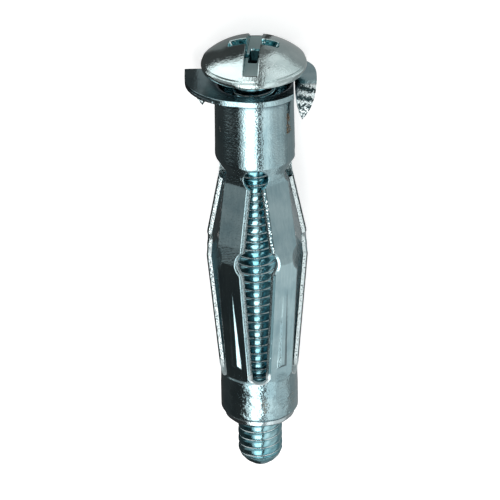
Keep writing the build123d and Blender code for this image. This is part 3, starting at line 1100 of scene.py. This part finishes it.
@dataclass(frozen=True)
class Card:
    """A flat studio card that only reflections see. Sizes in metres, turn in degrees.

    grey is 0 for black and 1 for white, and more for a card that lights the metal.
    """

    name: str
    centre: Point
    size: Pair
    turn: Point
    grey: float

    def build(self) -> None:
        """Stand the card in the studio."""
        deselect_all()
        bpy.ops.mesh.primitive_plane_add(size=1.0, location=self.centre,
                                         rotation=tuple(math.radians(a) for a in self.turn))
        card = bpy.context.object
        card.name = self.name
        card.scale = (*self.size, 1.0)
        settle()
        sheet = ShaderSheet(self.name)
        glow = sheet.node("ShaderNodeEmission")
        sheet.feed(glow.inputs["Color"], (self.grey,) * 3)
        sheet.tree.links.new(glow.outputs[0], sheet.output.inputs["Surface"])
        card.data.materials.append(sheet.material)
        for ray in ("camera", "diffuse", "shadow", "transmission"):
            setattr(card, f"visible_{ray}", False)
        card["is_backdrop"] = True


@dataclass
class Studio:
    """Pale floor, white background, one softbox and the cards around the anchor."""

    floor_z: float
    floor_size: float = 6.0
    floor_tone: float = 0.86
    floor_lift: float = 0.58
    room_light: float = 0.62
    box_height: float = 0.40
    box_x: Pair = (-0.225, 0.030)
    box_y: Pair = (-0.60, -0.03)
    box_level: float = 2.3
    card_lift: float = 0.0003
    card_layer: float = 0.0002
    card_drop: float = 0.002

    def shown_to_eye(self, tree: bpy.types.NodeTree) -> Socket:
        """Factor that is 1 for rays that show the background: camera, glossy and glass rays.

        Args:
            tree: The node tree that gets the factor's nodes.

        Returns:
            The factor.
        """
        path = tree.nodes.new("ShaderNodeLightPath")
        share = path.outputs["Is Camera Ray"]
        for ray in ("Is Glossy Ray", "Is Transmission Ray"):
            either = tree.nodes.new("ShaderNodeMath")
            either.operation = "MAXIMUM"
            tree.links.new(share, either.inputs[0])
            tree.links.new(path.outputs[ray], either.inputs[1])
            share = either.outputs[0]
        return share

    def room(self) -> None:
        """Light the room evenly and show it white."""
        world = bpy.data.worlds.new("room")
        bpy.context.scene.world = world
        world.use_nodes = True
        tree = world.node_tree
        tree.nodes.clear()
        output = tree.nodes.new("ShaderNodeOutputWorld")
        level = tree.nodes.new("ShaderNodeMapRange")
        level.inputs["To Min"].default_value = self.room_light
        level.inputs["To Max"].default_value = 1.0
        tree.links.new(self.shown_to_eye(tree), level.inputs["Value"])
        light = tree.nodes.new("ShaderNodeBackground")
        light.inputs["Color"].default_value = (1.0, 1.0, 1.0, 1.0)
        tree.links.new(level.outputs["Result"], light.inputs["Strength"])
        tree.links.new(light.outputs[0], output.inputs["Surface"])

    def floor(self) -> None:
        """Lay a pale floor that keeps the anchor's soft shadow."""
        deselect_all()
        bpy.ops.mesh.primitive_plane_add(size=self.floor_size, location=(0, 0, self.floor_z))
        floor = bpy.context.object
        floor.name = "floor"
        settle()
        sheet = ShaderSheet("floor")
        matte = sheet.node("ShaderNodeBsdfDiffuse")
        sheet.feed(matte.inputs["Color"], (self.floor_tone,) * 3)
        glow = sheet.node("ShaderNodeEmission")
        lift = sheet.times(self.shown_to_eye(sheet.tree), self.floor_lift)
        sheet.feed(glow.inputs["Strength"], lift)
        both = sheet.node("ShaderNodeAddShader")
        sheet.tree.links.new(matte.outputs[0], both.inputs[0])
        sheet.tree.links.new(glow.outputs[0], both.inputs[1])
        sheet.tree.links.new(both.outputs[0], sheet.output.inputs["Surface"])
        floor.data.materials.append(sheet.material)
        floor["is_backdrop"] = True

    def softbox(self) -> None:
        """Hang the large softbox above the anchor, a little to the left."""
        width = self.box_x[1] - self.box_x[0]
        length = self.box_y[1] - self.box_y[0]
        light = bpy.data.lights.new("softbox", "AREA")
        light.shape = "RECTANGLE"
        light.size = width
        light.size_y = length
        light.energy = self.box_level * math.pi * width * length
        lamp = bpy.data.objects.new("softbox", light)
        lamp.location = (sum(self.box_x) / 2, sum(self.box_y) / 2, self.box_height)
        lamp.visible_camera = False
        bpy.context.scene.collection.objects.link(lamp)

    def cards(self) -> None:
        """Set the cards that give the zinc its dark and grey reflections."""
        low = self.floor_z + self.card_lift
        mid = low + self.card_layer
        top = low + 2 * self.card_layer
        high = self.box_height - self.card_drop
        for card in (
            Card("gap_strip", (0.078, -0.25, high), (0.096, 1.3), LEVEL, 0.0),
            Card("front_wall", (0.0, -0.75, 0.15), (0.6, 0.34), ACROSS, 0.35),
            Card("right_light", (0.24, -0.25, high), (0.19, 1.3), LEVEL, 1.35),
            Card("right_wall_low", (0.26, -0.40, 0.10), (0.24, 0.50), BESIDE, 0.82),
            Card("right_wall_high", (0.26, 0.05, 0.10), (0.24, 0.40), BESIDE, 0.58),
            Card("right_floor", (0.13, -0.125, low), (0.26, 0.25), LEVEL, 0.34),
            Card("left_flag", (-0.15, -0.368, 0.07), (0.19, 0.604), BESIDE, 0.035),
            Card("left_screen", (-0.15, 0.027, 0.07), (0.19, 0.186), BESIDE, 0.32),
            Card("left_floor", (-0.075, -0.125, low), (0.15, 0.25), LEVEL, 0.05),
            Card("head_floor_left", (-0.0075, 0.016, low), (0.021, 0.032), LEVEL, 0.06),
            Card("head_floor_edge", (-0.022, 0.0055, mid), (0.012, 0.011), LEVEL, 0.05),
            Card("head_floor_near", (-0.003, 0.004, mid), (0.010, 0.010), LEVEL, 0.22),
            Card("head_floor_bright", (-0.09, 0.11, low), (0.14, 0.18), LEVEL, 1.8),
            Card("head_back_bright", (-0.20, 0.36, 0.065), (0.26, 0.15), ACROSS, 1.8),
            Card("head_floor_right", (0.0315, 0.035, low), (0.057, 0.070), LEVEL, 0.9),
            Card("head_floor_beside", (0.0115, 0.008, mid), (0.017, 0.016), LEVEL, 0.38),
            Card("head_strip", (0.004, 0.04, top), (0.008, 0.05), LEVEL, 0.15),
            Card("head_strip_far", (0.026, 0.21, low), (0.05, 0.29), LEVEL, 0.15),
            Card("head_strip_back", (0.042, 0.36, 0.14), (0.076, 0.30), ACROSS, 0.10),
        ):
            card.build()

    def build(self) -> None:
        """Set up the whole studio."""
        self.room()
        self.floor()
        self.softbox()
        self.cards()
        log.info("studio set up")


@dataclass(frozen=True)
class Camera:
    """The photograph's view: from above the anchor, leaning towards its head."""

    target: Point = (0.0, -0.025, 0.0)
    distance: float = 1.05096
    lean: float = 27.34
    roll: float = 0.992
    pixels_per_mm: float = 7.1
    frame_px: float = 500.0
    aim_px: Pair = (257.02, 244.72)
    sensor_mm: float = 36.0
    clip: Pair = (0.01, 20.0)

    def build(self) -> None:
        """Make the camera and set it as the scene's own."""
        lean = math.radians(self.lean)
        back = Vector((0.0, math.sin(lean), math.cos(lean)))
        up = Vector((0.0, math.cos(lean), -math.sin(lean)))
        right = up.cross(back)
        data = bpy.data.cameras.new("camera")
        data.sensor_width = self.sensor_mm
        data.lens = self.pixels_per_mm * self.distance / MM / self.frame_px * self.sensor_mm
        data.shift_x = -(self.aim_px[0] - 0.5 * self.frame_px) / self.frame_px
        data.shift_y = (self.aim_px[1] - 0.5 * self.frame_px) / self.frame_px
        data.clip_start, data.clip_end = self.clip
        camera = bpy.data.objects.new("camera", data)
        bpy.context.scene.collection.objects.link(camera)
        turn = Matrix((right, up, back)).transposed().to_4x4()
        turn = turn @ Matrix.Rotation(math.radians(-self.roll), 4, "Z")
        camera.matrix_world = Matrix.Translation(Vector(self.target) + back * self.distance) @ turn
        bpy.context.scene.camera = camera
        log.info("camera set, lens %.1f mm", data.lens)


def corner_lists() -> Sequence[Sequence[float]]:
    """Lowest and highest corner of the shown object, as plain lists."""
    return [[float(v) for v in corner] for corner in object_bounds()]


def main() -> None:
    """Build the anchor, the studio and the camera in order."""
    logging.basicConfig(level=logging.INFO, format="%(name)s: %(message)s")
    cad_box = corner_lists()
    Camera().build()
    Sleeve().build()
    Bush().build()
    MachineScrew().build()
    Studio(floor_z=min(cad_box[0][2], corner_lists()[0][2])).build()
    bpy.context.scene.view_settings.view_transform = "Standard"


if __name__ == "__main__":
    main()
